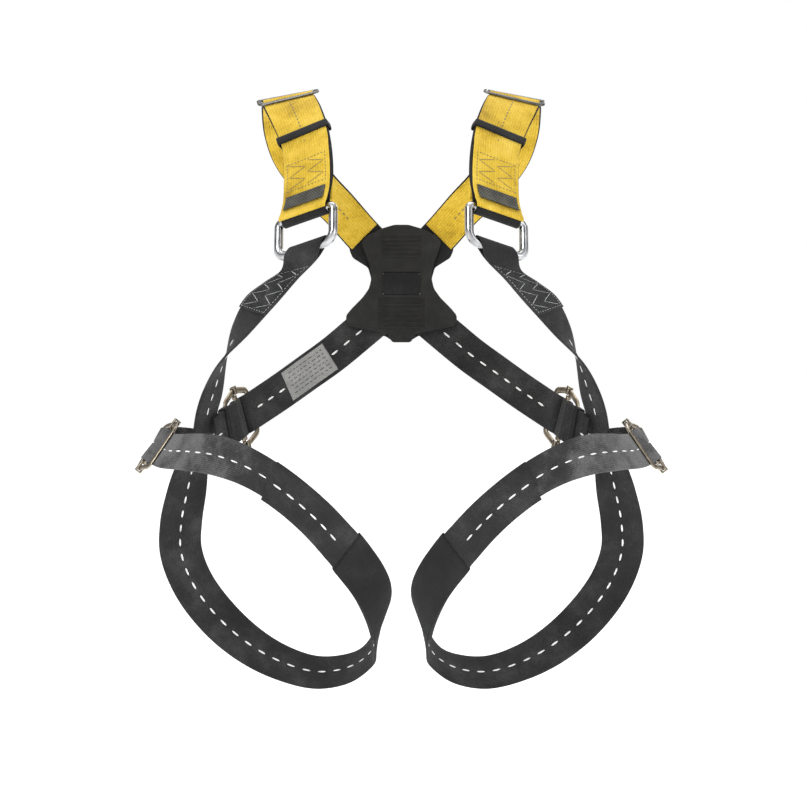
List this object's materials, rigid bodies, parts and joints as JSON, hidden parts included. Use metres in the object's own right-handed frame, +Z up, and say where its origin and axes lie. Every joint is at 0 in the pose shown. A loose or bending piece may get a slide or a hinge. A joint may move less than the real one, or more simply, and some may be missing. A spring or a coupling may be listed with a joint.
{
  "type": "full-body safety harness",
  "caption": "Full-body fall-arrest harness: ribbed back plate with a dorsal ring, yellow shoulder straps, front rings and adjustable leg loops.",
  "frame": {"origin": "middle of the flat webbing band on the inner face of the back plate, between the wearer's shoulder blades", "axes": "+X to the wearer's left, -Y ahead of the wearer, +Z up; the harness is in its worn shape"},
  "size_m": [0.6202, 0.3238, 0.7016],
  "materials": {
    "webbing_black": "woven, slightly faded",
    "webbing_yellow": "woven, lengthwise ribs",
    "elastic": "woven elastic",
    "grip": "fine hatched",
    "plate_plastic": "moulded, ribbed",
    "aluminium": "polished, lightly scratched",
    "bronze_steel": "zinc-bronze plated, worn",
    "steel": "satin",
    "label": "printed fabric label"
  },
  "bodies": {
    "root": {"right_shoulder_core": "webbing_black", "right_shoulder_webbing": "webbing_yellow", "right_shoulder_lining": "webbing_yellow", "right_grip_patch": "grip", "right_crest_slide": "steel", "right_side_strap": "webbing_black", "right_back_strap": "webbing_black", "right_back_tab": "webbing_black", "right_back_adjuster": "bronze_steel", "left_shoulder_core": "webbing_black", "left_shoulder_webbing": "webbing_yellow", "left_shoulder_lining": "webbing_yellow", "left_grip_patch": "grip", "left_crest_slide": "steel", "left_side_strap": "webbing_black", "left_back_strap": "webbing_black", "left_back_tab": "webbing_black", "left_back_adjuster": "bronze_steel", "back_plate_inner": "plate_plastic", "back_plate_outer": "plate_plastic", "plate_screw_top": "steel", "plate_screw_bottom": "steel", "plate_screw_right": "steel", "plate_screw_left": "steel", "strap_anchor_patch": "webbing_black", "dorsal_loop": "webbing_black", "inspection_label": "label"},
    "right_ring_body": {"right_front_ring": "aluminium"},
    "right_leg_loop": {"right_leg_strap": "webbing_black", "right_thigh_strap": "webbing_black", "right_hip_tab": "webbing_black", "right_hip_buckle": "bronze_steel", "right_crotch_sleeve": "elastic"},
    "right_hip_slider": {"right_hip_buckle_bar": "bronze_steel"},
    "right_back_slider": {"right_back_adjuster_bar": "bronze_steel"},
    "right_shoulder_slide": {"right_shoulder_keeper": "elastic"},
    "right_back_slide": {"right_back_keeper": "elastic"},
    "right_hip_slide": {"right_hip_keeper": "elastic"},
    "left_ring_body": {"left_front_ring": "aluminium"},
    "left_leg_loop": {"left_leg_strap": "webbing_black", "left_thigh_strap": "webbing_black", "left_hip_tab": "webbing_black", "left_hip_buckle": "bronze_steel", "left_crotch_sleeve": "elastic"},
    "left_hip_slider": {"left_hip_buckle_bar": "bronze_steel"},
    "left_back_slider": {"left_back_adjuster_bar": "bronze_steel"},
    "left_shoulder_slide": {"left_shoulder_keeper": "elastic"},
    "left_back_slide": {"left_back_keeper": "elastic"},
    "left_hip_slide": {"left_hip_keeper": "elastic"},
    "dorsal_ring_body": {"dorsal_ring": "aluminium"}
  },
  "joints": [
    {"name": "right_ring_hinge", "type": "hinge", "parent": "root", "child": "right_ring_body", "pos_m": [-0.103, -0.262, 0.058], "axis": [0.8839, -0.3861, 0.2641], "range_deg": [-25, 12], "deforming": ["right_side_strap"]},
    {"name": "right_leg_swing", "type": "hinge", "parent": "root", "child": "right_leg_loop", "pos_m": [-0.229, -0.128, -0.181], "axis": [-1, 0, 0], "range_deg": [-15, 40], "deforming": ["right_side_strap", "right_back_tab"]},
    {"name": "right_hip_slider_slide", "type": "slide", "parent": "right_leg_loop", "child": "right_hip_slider", "axis": [-0.3456, 0.9371, 0.0498], "range_m": [-0.0015, 0.0015], "deforming": ["right_hip_tab"]},
    {"name": "right_back_slider_slide", "type": "slide", "parent": "root", "child": "right_back_slider", "axis": [-0.5338, -0.7486, -0.3932], "range_m": [-0.0015, 0.0015], "deforming": ["right_back_tab"]},
    {"name": "right_shoulder_keeper_slide", "type": "slide", "parent": "root", "child": "right_shoulder_slide", "axis": [-0.2244, 0.6663, 0.7111], "range_m": [-0.005, 0.005]},
    {"name": "right_back_keeper_slide", "type": "slide", "parent": "root", "child": "right_back_slide", "axis": [-0.502, -0.7713, -0.3912], "range_m": [-0.002, 0.003]},
    {"name": "right_hip_keeper_slide", "type": "slide", "parent": "right_leg_loop", "child": "right_hip_slide", "axis": [-0.1669, 0.9859, 0.0155], "range_m": [-0.001, 0.001]},
    {"name": "left_ring_hinge", "type": "hinge", "parent": "root", "child": "left_ring_body", "pos_m": [0.103, -0.262, 0.058], "axis": [0.8839, 0.3861, -0.2641], "range_deg": [-25, 12], "deforming": ["left_side_strap"]},
    {"name": "left_leg_swing", "type": "hinge", "parent": "root", "child": "left_leg_loop", "pos_m": [0.229, -0.128, -0.181], "axis": [-1, 0, 0], "range_deg": [-15, 40], "deforming": ["left_side_strap", "left_back_tab"]},
    {"name": "left_hip_slider_slide", "type": "slide", "parent": "left_leg_loop", "child": "left_hip_slider", "axis": [0.3456, 0.9371, 0.0498], "range_m": [-0.0015, 0.0015], "deforming": ["left_hip_tab"]},
    {"name": "left_back_slider_slide", "type": "slide", "parent": "root", "child": "left_back_slider", "axis": [0.5338, -0.7486, -0.3932], "range_m": [-0.0015, 0.0015], "deforming": ["left_back_tab"]},
    {"name": "left_shoulder_keeper_slide", "type": "slide", "parent": "root", "child": "left_shoulder_slide", "axis": [0.2244, 0.6663, 0.7111], "range_m": [-0.005, 0.005]},
    {"name": "left_back_keeper_slide", "type": "slide", "parent": "root", "child": "left_back_slide", "axis": [0.502, -0.7713, -0.3912], "range_m": [-0.002, 0.003]},
    {"name": "left_hip_keeper_slide", "type": "slide", "parent": "left_leg_loop", "child": "left_hip_slide", "axis": [0.1669, 0.9859, 0.0155], "range_m": [-0.001, 0.001]},
    {"name": "dorsal_ring_hinge", "type": "hinge", "parent": "root", "child": "dorsal_ring_body", "pos_m": [0, 0.028, 0], "axis": [1, 0, 0], "range_deg": [0, 150]}
  ]
}
